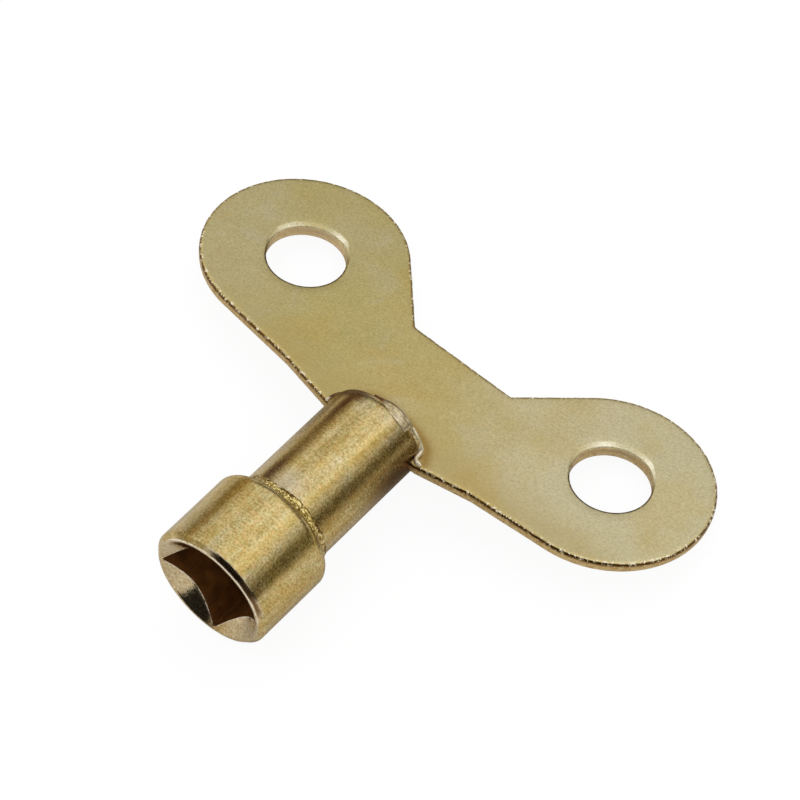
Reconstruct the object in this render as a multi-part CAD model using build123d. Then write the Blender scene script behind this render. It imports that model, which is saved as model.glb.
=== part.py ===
from build123d import *
import os
from math import acos, atan2, cos, hypot, radians, sin, tan

# Bleed key: a stamped butterfly plate for the fingers, brazed into the slotted
# end of a short round tube, with a square-socket head brazed on the other end.
# Millimetres. The origin is the centre of the socket's mouth, +Y runs along
# the barrel towards the handle, +X runs along the wings and +Z is up.
# "Front" is towards -Y and "rear" towards +Y.

# --- socket head ---
head_d = 12.8            # outside diameter
head_l = 9.3             # mouth to shoulder
square = 8.0             # square drive, across flats
square_corner = 0.25     # corner radius left by the broach
square_turn = 49.8       # direction of a flat's normal, from +X towards +Z, degrees
csk_d = 11.5             # lead-in countersink, diameter at the mouth
csk_half = 54.0          # countersink half angle, degrees
front_bevel_w = 0.38     # bevel round the mouth, measured along the radius
front_bevel_l = 0.75     # the same bevel, measured along the axis
front_crest_r = 0.10     # rounding between the bevel and the mouth
front_heel_r = 0.60      # rounding between the bevel and the side
rear_edge_r = 1.0        # rounding of the shoulder
seat_l = 2.5             # length of shank held in the head's counterbore
seat_gap = 0.04          # radial gap in the counterbore
csk_overrun = 0.001      # how far the countersink's cutter starts before the mouth
overrun = 1.0            # how far the other cutters run past the head
head_r = head_d / 2
seat_y = head_l - seat_l           # floor of the counterbore

# --- shank tube ---
shank_d = 9.8
shank_bore = 6.6
shank_end = 23.6         # where the tube ends, from the mouth
shank_r = shank_d / 2

# --- handle plate, in its own frame: hole centres on the X axis ---
plate_t = 1.1
hole_pitch = 38.0        # between the hole centres
hole_r = 3.85
right_lobe = (18.76, -0.09)        # centre of the right lobe: the blank is cut
left_lobe = (-19.39, 0.31)         # a little off centre from its two holes
lobe_r = 10.15
notch_x, notch_y = 5.95, 1.02      # inner corner of the rear notch
notch_r = 0.6
bend_x, bend_y = 11.4, -10.93      # where the front edge changes slope
root_x, root_y = 5.6, -12.20       # where the front edge reaches the tube
top_edge_r = 0.40        # roll-over of the stamped edge, upper side
low_edge = 0.10          # chamfer of the sheared edge, lower side

# --- how the plate sits on the barrel ---
plate_pitch = 8.68       # plate to barrel angle, seen from the side, degrees
plate_yaw = 1.90         # plate to barrel angle, seen from above, degrees
joint_y = 22.3           # barrel position of the plate's reference point
plate_ref = (0.05, -12.16, -0.02)  # that point, in the plate's own frame
slot_gap = 0.04          # gap of the tube's slots round the plate
cut_w = 8 * root_x       # width of the boxes used for cutting, well past the tube
cut_l = 30.0             # length of the same boxes, open to the rear

# --- brazing ---
# Profiles are rows of (radial, axial) offsets from a corner on the shank's surface.
head_braze_l = 1.35      # height of the fillet along the shank
head_braze_w = 0.45      # width of the fillet on the shoulder
rim_braze_w = 0.20       # how far the rim's brazing stands out from the shank
toe_braze_w = 0.55       # the same, for the fillets at the plate
toe_braze_h = 0.85       # height of those fillets above and below the plate
braze_in = 1.40          # how far the brazing reaches in over the rim
toe_start = joint_y - shank_end    # reference point, measured from the rim

# From the shoulder.
HEAD_BRAZE = [
    (0, 0), (head_braze_w, 0), (0.42, 0.35), (0.27, 0.80), (0.10, 1.15), (0, head_braze_l),
]
# From the tube's rear rim.
RIM_BRAZE = [
    (0, -0.60), (0.12, -0.42), (rim_braze_w, 0), (0.05, 0.40), (-0.40, 0.68),
    (-0.95, 0.60), (-1.30, 0.25), (-braze_in, 0), (0, 0),
]
TOE_BRAZE = [
    (0, toe_start + 0.10), (0.40, toe_start + 0.12), (toe_braze_w, toe_start + 0.70),
    (0.45, 0.50), (0.05, 1.00), (-0.80, 1.10), (-braze_in, 0.60), (-braze_in, 0), (0, 0),
]

# The plate's frame placed in the barrel's frame.
plate_seat = (
    Pos(0, joint_y, 0)
    * Rot(-plate_pitch, 0, 0)
    * Rot(0, 0, -plate_yaw)
    * Pos(*[-value for value in plate_ref])
)


def ring(points, radius=0.0, y=0.0):
    """Revolve (radius, y) points, offset by the given corner, about the barrel axis."""
    profile = [(radius + across, y + along) for across, along in points]
    return revolve(make_face(Polyline(*profile, close=True)), Axis.Y)


def circles_at(solid, y):
    """Circular edges centred at the given place along the barrel."""
    return [edge for edge in solid.edges()
            if edge.geom_type == GeomType.CIRCLE and abs(edge.center().Y - y) < 1e-6]


def tangent_point(point, centre, side):
    """Where a line from the point touches the lobe's circle, on the given side."""
    dx, dy = point[0] - centre[0], point[1] - centre[1]
    angle = atan2(dy, dx) + side * acos(lobe_r / hypot(dx, dy))
    return centre[0] + lobe_r * cos(angle), centre[1] + lobe_r * sin(angle)


def lines(*points):
    """Straight edges joining the points in turn."""
    return [Line(start, end) for start, end in zip(points, points[1:])]


def plate_space(gap):
    """The room the plate takes at its root, with a gap round it, open to the rear."""
    box = Box(cut_w, cut_l, plate_t + 2 * gap)
    return plate_seat * (Pos(0, root_y - gap + cut_l / 2, 0) * box)


def make_handle_plate():
    """Butterfly blank with two holes, its edges rolled above and sheared below."""
    notch_left, notch_right = (-notch_x, notch_y), (notch_x, notch_y)
    bend_left, bend_right = (-bend_x, bend_y), (bend_x, bend_y)
    rear_right = tangent_point(notch_right, right_lobe, -1)
    front_right = tangent_point(bend_right, right_lobe, 1)
    rear_left = tangent_point(notch_left, left_lobe, 1)
    front_left = tangent_point(bend_left, left_lobe, -1)
    right_tip = (right_lobe[0] + lobe_r, right_lobe[1])
    left_tip = (left_lobe[0] - lobe_r, left_lobe[1])
    flat = make_face([
        *lines(notch_left, notch_right, rear_right),
        ThreePointArc(rear_right, right_tip, front_right),
        *lines(front_right, bend_right, (root_x, root_y),
               (-root_x, root_y), bend_left, front_left),
        ThreePointArc(front_left, left_tip, rear_left),
        *lines(rear_left, notch_left),
    ])
    corners = [v for v in flat.vertices()
               if abs(abs(v.X) - notch_x) < 1e-3 and abs(v.Y - notch_y) < 1e-3]
    flat = fillet(corners, notch_r)
    for side in (-1, 1):
        flat -= Pos(side * hole_pitch / 2, 0) * Circle(hole_r)
    plate = Pos(0, 0, -plate_t / 2) * extrude(flat, plate_t)
    plate = fillet(plate.faces().sort_by(Axis.Z)[-1].edges(), top_edge_r)
    plate = chamfer(plate.faces().sort_by(Axis.Z)[0].edges(), low_edge)
    return plate_seat * plate


def make_shank_tube():
    """Tube slotted for the plate at its rear end."""
    bore_r = shank_bore / 2
    tube = ring([(bore_r, seat_y), (shank_r, seat_y), (shank_r, shank_end), (bore_r, shank_end)])
    return tube - plate_space(slot_gap)


def make_socket_head():
    """Turned sleeve with a broached square and a rear counterbore."""
    head = ring([(0, 0), (head_r - front_bevel_w, 0), (head_r, front_bevel_l),
                 (head_r, head_l), (0, head_l)])
    for y, radius in ((0, front_crest_r), (front_bevel_l, front_heel_r), (head_l, rear_edge_r)):
        head = fillet(circles_at(head, y), radius)

    turn = radians(square_turn)
    socket_plane = Plane(origin=(0, -overrun, 0), x_dir=(cos(turn), 0, sin(turn)),
                         z_dir=(0, 1, 0))
    drive = socket_plane * RectangleRounded(square, square, square_corner)
    head -= extrude(drive, seat_y + overrun)

    csk_r = csk_d / 2
    csk_depth = csk_r / tan(radians(csk_half))
    head -= ring([(0, -csk_overrun), (csk_r, -csk_overrun), (csk_r, 0), (0, csk_depth)])

    bore_r = shank_r + seat_gap
    bore_end = head_l + overrun
    head -= ring([(0, seat_y), (bore_r, seat_y), (bore_r, bore_end), (0, bore_end)])
    return head


def make_plate_braze():
    """Lower and upper saddles of brazing round the rim, parted by the plate."""
    rim = ring(RIM_BRAZE, shank_r, shank_end)
    toe = ring(TOE_BRAZE, shank_r, shank_end)
    # The toe fillets only stay close to the plate's two faces.
    slab = plate_seat * Box(cut_w, 2 * cut_l, plate_t + 2 * toe_braze_h)
    saddle = (rim + (toe & slab)) - plate_space(0)
    saddles = sorted(saddle.solids(), key=lambda solid: solid.center().Z)
    return saddles[0], saddles[-1]


def export_piece(name, shape, rgb):
    """Write one named, coloured piece."""
    solids = shape.solids()
    body = solids[0] if len(solids) == 1 else Compound(children=list(solids))
    body.label = name
    body.color = Color(*rgb)
    export_step(body, f"parts/{name}.step")


plate_braze_lower, plate_braze_upper = make_plate_braze()

PIECES = {
    "handle_plate": (make_handle_plate(), (0.72, 0.63, 0.40)),
    "shank_tube": (make_shank_tube(), (0.70, 0.60, 0.36)),
    "socket_head": (make_socket_head(), (0.66, 0.56, 0.32)),
    "head_braze_ring": (ring(HEAD_BRAZE, shank_r, head_l), (0.86, 0.66, 0.25)),
    "plate_braze_upper": (plate_braze_upper, (0.86, 0.66, 0.25)),
    "plate_braze_lower": (plate_braze_lower, (0.84, 0.64, 0.24)),
}

os.makedirs("parts", exist_ok=True)
for name, (shape, rgb) in PIECES.items():
    export_piece(name, shape, rgb)
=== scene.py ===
"""A brass key: a two-lobed handle plate brazed across the end of a tube with a square socket head.

Row frame (the world's): the barrel lies along +Y with the socket's mouth at y = 0, Z is up, and
the sheet crosses the tube near y = 22 and runs on towards +Y. Plate frame: both holes on the X
axis, the sheet's mid-plane at z = 0. Sizes are in millimetres; MM turns them into metres.
Angles round the barrel start at +X and turn towards +Z.
"""
from math import acos, atan2, copysign, cos, degrees, exp, hypot, pi, radians, sin, sqrt, tan

import bmesh
import bpy
import numpy as np
from mathutils import Matrix, Vector, geometry, noise


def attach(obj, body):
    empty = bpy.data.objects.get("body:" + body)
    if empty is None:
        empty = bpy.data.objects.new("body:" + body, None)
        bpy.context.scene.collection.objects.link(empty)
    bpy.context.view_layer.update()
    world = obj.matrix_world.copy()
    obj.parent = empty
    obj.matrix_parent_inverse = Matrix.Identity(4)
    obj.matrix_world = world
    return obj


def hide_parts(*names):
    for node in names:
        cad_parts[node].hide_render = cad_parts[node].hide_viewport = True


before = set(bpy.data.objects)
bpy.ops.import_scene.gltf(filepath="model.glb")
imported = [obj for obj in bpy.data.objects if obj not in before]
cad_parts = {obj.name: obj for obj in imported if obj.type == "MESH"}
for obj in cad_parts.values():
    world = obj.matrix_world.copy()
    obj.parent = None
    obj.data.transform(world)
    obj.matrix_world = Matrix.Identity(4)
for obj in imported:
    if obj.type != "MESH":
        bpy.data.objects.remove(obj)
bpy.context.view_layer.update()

MM = 0.001
scene = bpy.context.scene
scene.view_settings.view_transform = "Standard"
scene.view_settings.look = "None"

# ---------------------------------------------------------------- sizes
SHEET = 1.10                        # thickness of the plate
HALF = SHEET / 2
LOBES = {1: np.array([18.76, -0.09]), -1: np.array([-19.39, 0.31])}
LOBE_R = 10.15
HOLE_X, HOLE_R = 19.0, 3.85
NOTCH, NOTCH_R = np.array([5.95, 1.02]), 0.6    # corner of the gap between the lobes
BEND = np.array([11.4, -10.93])     # where the front edge turns up to the lobe
ROOT = np.array([5.6, -12.20])      # end of the straight front edge

HEAD_R, HEAD_L = 6.4, 9.3
HEAD_ROUND = 1.0                    # rounding of the head's back edge
SQUARE, SQUARE_ROUND = 4.0, 0.25    # half width and corner radius of the socket
SQUARE_TURN = radians(49.8)
CONE_R, CONE_SLOPE = 5.75, tan(radians(54.0))   # lead-in: radius at y = 0, radius lost per mm
SEAT_R, SEAT_Y = 4.94, 6.8          # pocket that takes the tube
LIP_TURN = 65.0                     # the lip is widest at this angle, in degrees

TUBE_R, BORE_R, TUBE_END = 4.9, 3.3, 23.6

# ---------------------------------------------------------------- frames
PITCH, YAW = radians(8.68), radians(1.90)
JOINT = np.array([0.05, -12.16, -0.02])         # plate-frame point that meets JOINT_ROW
JOINT_ROW = np.array([0, 22.3, 0])
TO_ROW = (np.array([[1.0, 0, 0], [0, cos(PITCH), sin(PITCH)], [0, -sin(PITCH), cos(PITCH)]])
          @ np.array([[cos(YAW), sin(YAW), 0], [-sin(YAW), cos(YAW), 0], [0, 0, 1.0]]))


def to_row(points):
    return (np.atleast_2d(points) - JOINT) @ TO_ROW.T + JOINT_ROW


def to_plate(points):
    return (np.atleast_2d(points) - JOINT_ROW) @ TO_ROW + JOINT


# ---------------------------------------------------------------- helpers
def perlin(x, y, z, scale, seed):
    """Perlin noise at a point, scale in cycles per mm."""
    return noise.noise(Vector((x * scale + seed, y * scale + seed * 1.7, z * scale - seed)))


def fractal(x, y, z, scale, octaves, seed):
    return sum(0.5 ** i * perlin(x, y, z, scale * 2 ** i, seed + 11.3 * i)
               for i in range(octaves))


def ease(start, end, value):
    """Smooth step: 0 at start, 1 at end (start may be the larger)."""
    t = np.clip((np.asarray(value, float) - start) / (end - start), 0.0, 1.0)
    return t * t * (3 - 2 * t)


def polar(x, z):
    """Radius and angle in degrees round the barrel."""
    return np.hypot(x, z), np.degrees(np.arctan2(z, x))


def distance_to(points, path):
    """Distance of each point from a polyline, at most 9 mm."""
    near = np.full(len(points), 9.0)
    path = np.array(path)
    for start, end in zip(path[:-1], path[1:]):
        along = end - start
        t = np.clip(((points - start) @ along) / (along @ along), 0, 1)
        gap = np.linalg.norm(points - start - t[:, None] * along, axis=1)
        near = np.minimum(near, gap)
    return near


def make_obj(name, verts, faces, mats=(), smooth=True, attrs={}):
    """Mesh object from points in the row frame, with point attributes."""
    mesh = bpy.data.meshes.new(name)
    mesh.from_pydata([tuple(float(c) * MM for c in v) for v in verts], [],
                     [tuple(int(i) for i in f) for f in faces])
    for key, values in attrs.items():
        attribute = mesh.attributes.new(key, "FLOAT", "POINT")
        attribute.data.foreach_set("value", [float(value) for value in values])
    mesh.validate()
    bm = bmesh.new()
    bm.from_mesh(mesh)
    bmesh.ops.remove_doubles(bm, verts=bm.verts, dist=1e-8)
    bmesh.ops.recalc_face_normals(bm, faces=bm.faces)
    bm.to_mesh(mesh)
    bm.free()
    if smooth:
        shade_smooth(mesh)
    ob = bpy.data.objects.new(name, mesh)
    scene.collection.objects.link(ob)
    for mat in mats:
        mesh.materials.append(mat)
    return ob


def shade_smooth(mesh):
    mesh.polygons.foreach_set("use_smooth", [True] * len(mesh.polygons))


def apply_mods(ob):
    graph = bpy.context.evaluated_depsgraph_get()
    mesh = bpy.data.meshes.new_from_object(ob.evaluated_get(graph))
    ob.modifiers.clear()
    old = ob.data
    ob.data = mesh
    bpy.data.meshes.remove(old)


def paint(ob, **masks):
    """Store each mask(x, y, z), in mm in the row frame, as a point attribute."""
    mesh = ob.data
    points = np.empty(len(mesh.vertices) * 3)
    mesh.vertices.foreach_get("co", points)
    points = points.reshape(-1, 3) / MM
    for name, mask in masks.items():
        attribute = mesh.attributes.new(name, "FLOAT", "POINT")
        values = np.clip(mask(*points.T), 0.0, 1.0).astype(float)
        attribute.data.foreach_set("value", values)


def blank(x, y, z):
    return np.zeros(len(x))


def lathe(rings, angles):
    """Closed body of revolution. rings: (shape, place), where shape(place, angle)
    gives the radius and y. Returns points and quads."""
    verts, faces = [], []
    for shape, place in rings:
        for angle in angles:
            radius, y = shape(place, angle)
            verts.append((radius * cos(angle), y, radius * sin(angle)))
    n, m = len(angles), len(rings)
    for k in range(m):
        after = (k + 1) % m
        for i in range(n):
            j = (i + 1) % n
            faces.append((k * n + i, k * n + j, after * n + j, after * n + i))
    return verts, faces


def fixed(place, angle):
    """Lathe shape of a plain ring; place is (radius, y)."""
    return place


def mark_bore(ob, inside):
    """Second material on faces whose centre passes inside(radius, y, angle)."""
    index = []
    for face in ob.data.polygons:
        c = face.center / MM
        index.append(1 if inside(hypot(c.x, c.z), c.y, atan2(c.z, c.x)) else 0)
    ob.data.polygons.foreach_set("material_index", index)


# ---------------------------------------------------------------- node graphs
class Graph:
    """Builds a node tree. Inputs take numbers, RGB tuples or sockets."""

    def __init__(self, tree):
        self.tree = tree
        tree.nodes.clear()

    def node(self, kind, inputs={}, **props):
        node = self.tree.nodes.new("ShaderNode" + kind)
        for key, value in props.items():
            setattr(node, key, value)
        for key, value in inputs.items():
            socket = node.inputs[key]
            if isinstance(value, bpy.types.NodeSocket):
                self.tree.links.new(value, socket)
            else:
                socket.default_value = value + (1.0,) if socket.type == "RGBA" else value
        return node

    def math(self, operation, a, b):
        return self.node("Math", {0: a, 1: b}, operation=operation).outputs[0]

    def plus(self, a, b):
        return self.math("ADD", a, b)

    def minus(self, a, b):
        return self.math("SUBTRACT", a, b)

    def times(self, a, b):
        return self.math("MULTIPLY", a, b)

    def most(self, a, b):
        return self.math("MAXIMUM", a, b)

    def noise(self, pos, scale, detail=3.0, rough=0.55, distortion=0.0):
        """Scale in cycles per mm."""
        return self.node("TexNoise", {"Scale": scale, "Detail": detail, "Roughness": rough,
                                      "Distortion": distortion, "Vector": pos}).outputs["Fac"]

    def voronoi(self, pos, scale):
        return self.node("TexVoronoi", {"Scale": scale, "Vector": pos}).outputs["Distance"]

    def ramp(self, value, stops, interpolation="LINEAR"):
        """stops: (position, RGB)."""
        node = self.node("ValToRGB", {0: value})
        ramp = node.color_ramp
        ramp.interpolation = interpolation
        ramp.elements.remove(ramp.elements[-1])
        for i, (position, rgb) in enumerate(stops):
            stop = ramp.elements.new(position) if i else ramp.elements[0]
            stop.position = position
            stop.color = rgb + (1.0,)
        return node.outputs[0]

    def remap(self, value, span, to=(0.0, 1.0), smooth=True):
        """Carry the range span onto the range to."""
        return self.node("MapRange", dict(enumerate((value, *span, *to))),
                         interpolation_type="SMOOTHSTEP" if smooth else "LINEAR").outputs[0]

    def mix(self, share, a, b, blend="MIX"):
        """Colour a, with its share of colour b."""
        return self.node("Mix", {0: share, 6: a, 7: b},
                         data_type="RGBA", blend_type=blend).outputs[2]

    def tinted(self, col, rgb):
        return self.mix(1.0, col, rgb, "MULTIPLY")

    def mottle(self, col, value, span, dark, light, smooth=True):
        """Tint from dark to light as value crosses span."""
        return self.mix(self.remap(value, span, smooth=smooth),
                        self.tinted(col, dark), self.tinted(col, light))

    def mm(self, stretch=(1, 1, 1)):
        """Object coordinates in millimetres."""
        pos = self.node("TexCoord").outputs["Object"]
        scale = tuple(1000.0 * s for s in stretch)
        return self.node("Mapping", {"Scale": scale, "Vector": pos}).outputs["Vector"]

    def shift(self, pos, by):
        return self.node("VectorMath", {0: pos, 1: by}, operation="ADD").outputs[0]

    def attr(self, name):
        return self.node("Attribute", attribute_name=name).outputs["Fac"]

    def bump(self, height, strength, depth, normal=None):
        """Depth in mm."""
        inputs = {"Strength": strength, "Distance": depth * MM, "Height": height}
        if normal is not None:
            inputs["Normal"] = normal
        return self.node("Bump", inputs).outputs["Normal"]

    def principled(self, col, rough, normal, metallic=1.0):
        shader = self.node("BsdfPrincipled", {"Base Color": col, "Roughness": rough,
                                              "Metallic": metallic, "Normal": normal})
        self.node("OutputMaterial", {"Surface": shader.outputs[0]})

    def blend(self, share, a, b):
        """Shader a, with its share of shader b."""
        return self.node("MixShader", {0: share, 1: a.outputs[0], 2: b.outputs[0]})

    def for_reflections(self, normal_view, reflected):
        """One shader for reflections and another for all other rays."""
        glossy = self.node("LightPath").outputs["Is Glossy Ray"]
        return self.blend(glossy, normal_view, reflected).outputs[0]


def material(name):
    mat = bpy.data.materials.new(name)
    mat.use_nodes = True
    return mat, Graph(mat.node_tree)


def scaled(rgb, factors):
    return tuple(min(1.0, c * k) for c, k in zip(rgb, factors))


# ---------------------------------------------------------------- materials
def plate_material():
    """Attributes: crest = rolled edge, carrying painted glints; line = painted shade line along
    the edges;
    tube_shade = painted shade round the tube's end; bevel = painted highlight on the hole rims."""
    mat, net = material("plate_satin_brass")
    pos = net.mm()
    patch = net.noise(pos, scale=0.075, rough=0.5, distortion=0.3)
    blotch = net.noise(pos, scale=0.22, rough=0.6, distortion=0.6)
    grain = net.noise(pos, scale=4.2, detail=4, rough=0.72)
    axes = net.node("SeparateXYZ", {0: pos}).outputs
    # tone from the -X lobe to the +X lobe
    across = net.plus(net.remap(axes["X"], span=(-26.0, 26.0), smooth=False),
                      net.remap(patch, span=(0.25, 0.75), to=(-0.22, 0.22), smooth=False))
    col = net.ramp(across, [(0.04, (0.68, 0.585, 0.300)), (0.26, (0.665, 0.555, 0.228)),
                            (0.50, (0.72, 0.575, 0.238)), (0.76, (0.80, 0.705, 0.425)),
                            (0.98, (0.79, 0.705, 0.425))])
    # golden and pale blotches, then grain
    golden = net.remap(blotch, span=(0.52, 0.72), to=(0.0, 0.30))
    col = net.mix(golden, col, (0.76, 0.585, 0.230))
    pale = net.remap(blotch, span=(0.30, 0.46), to=(0.30, 0.0))
    col = net.mix(pale, col, (0.69, 0.635, 0.43))
    col = net.mottle(col, grain, span=(0.30, 0.70), dark=(0.79, 0.775, 0.715),
                     light=(1.18, 1.195, 1.26), smooth=False)
    # deeper gold towards the tube
    col = net.mix(net.remap(axes["Y"], span=(29.0, 23.5), to=(0.0, 0.55)), col,
                  (0.62, 0.465, 0.18))
    warm = net.remap(net.noise(pos, scale=0.13, detail=2, rough=0.5),
                     span=(0.50, 0.66), to=(0.0, 0.42))
    col = net.mix(warm, col, net.tinted(col, (1.0, 0.90, 0.66)))
    specks = net.noise(pos, scale=3.0, rough=0.78)
    crest, line = net.attr("crest"), net.attr("line")
    tube_shade, bevel = net.attr("tube_shade"), net.attr("bevel")
    # painted shade on the sheet round the tube's end
    col = net.mix(net.times(tube_shade, 0.75), col, net.tinted(col, (0.66, 0.52, 0.34)))
    col = net.mix(net.times(crest, 0.55), col, (0.72, 0.52, 0.17))
    # painted shade line along the rolled edges, broken by specks
    broken_shade_line = net.times(line, net.remap(specks, span=(0.62, 0.53)))
    col = net.mix(broken_shade_line, col, (0.15, 0.068, 0.014))
    # painted glints on the rolled edge and painted highlights on the hole rims; lowered metallic
    # lets them glow
    spark = net.times(crest, net.remap(specks, span=(0.54, 0.60)))
    spark = net.most(spark, net.times(bevel, net.remap(grain, span=(0.30, 0.62),
                                                       to=(0.45, 1.0))))
    col = net.mix(spark, col, (0.95, 0.88, 0.68))
    rough = net.plus(net.remap(blotch, span=(0.3, 0.7), to=(0.25, 0.32)),
                     net.remap(grain, span=(0.3, 0.7), to=(-0.03, 0.04)))
    rough = net.minus(rough, net.times(crest, 0.08))
    fine = net.bump(net.noise(pos, scale=3.2, detail=5, rough=0.72), strength=0.26, depth=0.012)
    normal = net.bump(net.noise(pos, scale=0.55, detail=2, rough=0.5), strength=0.26,
                      depth=0.05, normal=fine)
    net.principled(col, rough, normal, metallic=net.minus(1.0, net.times(spark, 0.55)))
    return mat


def shear_material():
    """The sheared wall of the sheet: brown-gold, torn and grainy."""
    mat, net = material("plate_sheared_edge")
    pos = net.mm()
    tears = net.noise(pos, scale=2.2, detail=5, rough=0.7)
    grain = net.noise(pos, scale=9.0, rough=0.7)
    col = net.ramp(tears, [(0.28, (0.42, 0.26, 0.10)), (0.42, (0.70, 0.52, 0.26)),
                           (0.58, (0.84, 0.70, 0.42)), (0.76, (0.92, 0.81, 0.58))])
    col = net.mix(net.remap(grain, span=(0.35, 0.65), to=(0.0, 0.4)), col,
                  net.tinted(col, (0.74, 0.66, 0.54)))
    specks = net.noise(pos, scale=3.0, rough=0.78)
    # painted glints on the rolled edge; the lowered metallic below lets them glow
    spark = net.times(net.attr("crest"), net.remap(specks, span=(0.57, 0.64)))
    # painted shade line along the rolled edge
    line = net.times(net.attr("line"), net.remap(specks, span=(0.62, 0.53)))
    col = net.tinted(col, (0.98, 0.91, 0.78))
    col = net.mix(line, col, (0.15, 0.068, 0.014))
    col = net.mix(spark, col, (0.95, 0.86, 0.64))
    # painted light on the far wall of the holes
    lift = net.attr("bevel")
    col = net.mix(net.times(lift, 0.9), col, (0.93, 0.74, 0.46))
    rough = net.remap(tears, span=(0.3, 0.7), to=(0.46, 0.30))
    normal = net.bump(net.noise(pos, scale=6.0, detail=5, rough=0.75), strength=0.55, depth=0.02)
    dull = net.times(net.most(spark, lift), 0.60)
    net.principled(col, rough, normal, metallic=net.minus(0.95, dull))
    return mat


def barrel_material(name, tone, seed):
    """Satin brass with a fine pitted speckle and faint marks along the axis.
    Attributes: polish = turned faces, with a painted sheen on the head's lit bevel;
    worn = rubbed crests with a painted highlight; tint = heat stain and painted
    dark reflection; flux = pale residue."""
    mat, net = material(name)
    pos = net.shift(net.mm(), (seed, seed * 0.7, -seed))
    patch = net.noise(pos, scale=0.16, distortion=0.4)
    cloud = net.noise(pos, scale=0.75, rough=0.6, distortion=0.3)
    streak = net.noise(net.mm((1.0, 0.12, 1.0)), scale=1.1, rough=0.6)
    broad = net.noise(net.mm((1.0, 0.06, 1.0)), scale=0.55, detail=2, rough=0.5)
    speck = net.noise(pos, scale=4.6, detail=4, rough=0.72)
    pits = net.voronoi(pos, scale=1.9)
    glint = net.voronoi(pos, scale=2.6)
    pick = net.noise(pos, scale=0.9, detail=2, rough=0.5)   # where pits or glints show
    hue = net.noise(pos, scale=2.1, rough=0.7)
    polish, worn = net.attr("polish"), net.attr("worn")
    tint, flux = net.attr("tint"), net.attr("flux")
    col = net.ramp(patch, [(0.34, scaled(tone, (0.95, 0.98, 1.14))), (0.5, tone),
                           (0.68, scaled(tone, (1.03, 0.965, 0.82)))], "EASE")
    # pattern, its span, dark tint, light tint
    for value, span, dark, light in (
            (cloud, (0.34, 0.66), (0.94, 0.92, 0.84), (1.05, 1.07, 1.16)),
            (streak, (0.34, 0.66), (0.90, 0.86, 0.76), (1.07, 1.09, 1.18)),
            (broad, (0.36, 0.64), (0.92, 0.88, 0.78), (1.06, 1.08, 1.18)),
            (hue, (0.36, 0.64), (1.03, 0.97, 0.90), (0.95, 1.01, 0.96))):
        col = net.mottle(col, value, span, dark, light)
    # paler on the turned faces, with a painted sheen on the lit part of the head's bevel
    col = net.mix(net.times(polish, 0.55), col, (0.80, 0.665, 0.47))
    # grain, pits and glints, a little weaker where polished
    grit = net.remap(polish, span=(0.0, 1.0), to=(1.0, 0.90), smooth=False)
    grainy = net.mottle(col, speck, span=(0.37, 0.63), dark=(0.67, 0.62, 0.50),
                        light=(1.28, 1.31, 1.50), smooth=False)
    col = net.mix(grit, col, grainy)
    hole = net.times(net.remap(pits, span=(0.13, 0.03), to=(0.0, 0.85)),
                     net.remap(pick, span=(0.46, 0.56)))
    col = net.mix(net.times(hole, grit), col, (0.17, 0.10, 0.035))
    shine = net.times(net.remap(glint, span=(0.16, 0.05), to=(0.0, 0.8)),
                      net.remap(pick, span=(0.52, 0.42)))
    col = net.mix(net.times(shine, grit), col, (0.98, 0.90, 0.62))
    # heat stain and painted dark reflection, residue, and rubbed crests with a painted highlight
    stain_and_reflection = net.times(tint, net.remap(speck, span=(0.30, 0.62), to=(1.0, 0.86)))
    col = net.mix(stain_and_reflection, col, (0.145, 0.058, 0.014))
    chalk = net.times(flux, net.remap(speck, span=(0.36, 0.60), to=(0.25, 0.85)))
    col = net.mix(chalk, col, (0.80, 0.70, 0.56))
    rub_and_highlight = net.times(worn, net.remap(net.noise(pos, scale=1.7, rough=0.7),
                                    span=(0.36, 0.55), to=(0.30, 1.0)))
    col = net.mix(rub_and_highlight, col, (0.97, 0.86, 0.72))
    rough = net.plus(net.remap(patch, span=(0.3, 0.7), to=(0.19, 0.25)),
                     net.remap(speck, span=(0.3, 0.7), to=(-0.04, 0.07)))
    rough = net.times(rough, net.remap(polish, span=(0.0, 1.0), to=(1.0, 0.42), smooth=False))
    rough = net.plus(rough, net.times(flux, 0.12))
    rough = net.plus(rough, net.times(tint, 0.10))
    normal = net.bump(speck, strength=net.times(grit, 0.50), depth=0.013)
    normal = net.bump(streak, strength=0.35, depth=0.02, normal=normal)
    normal = net.bump(net.noise(pos, scale=0.8, detail=2, rough=0.5),
                      strength=net.times(grit, 0.42), depth=0.03, normal=normal)
    # lowered metallic lets the rubbed crests' painted highlight glow under the fill light
    net.principled(col, rough, normal,
                   metallic=net.remap(rub_and_highlight, span=(0.0, 1.0), to=(1.0, 0.22), smooth=False))
    return mat


def bore_material():
    """Inside of the socket and tube: dull, heat-darkened, reddish brown."""
    mat, net = material("socket_oxidised_bore")
    cloud = net.noise(net.mm(), scale=0.7, detail=4, rough=0.6, distortion=0.5)
    streak = net.noise(net.mm((1.0, 0.15, 1.0)), scale=2.5, rough=0.6)
    col = net.ramp(cloud, [(0.3, (0.125, 0.042, 0.006)), (0.5, (0.190, 0.066, 0.009)),
                           (0.7, (0.285, 0.105, 0.016))])
    col = net.mix(net.remap(streak, span=(0.35, 0.7), to=(0.0, 0.4)), col, (0.09, 0.038, 0.012))
    normal = net.bump(streak, strength=0.4, depth=0.02)
    net.principled(col, net.remap(cloud, span=(0.3, 0.7), to=(0.50, 0.62)), normal,
                   metallic=0.65)
    return mat


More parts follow.
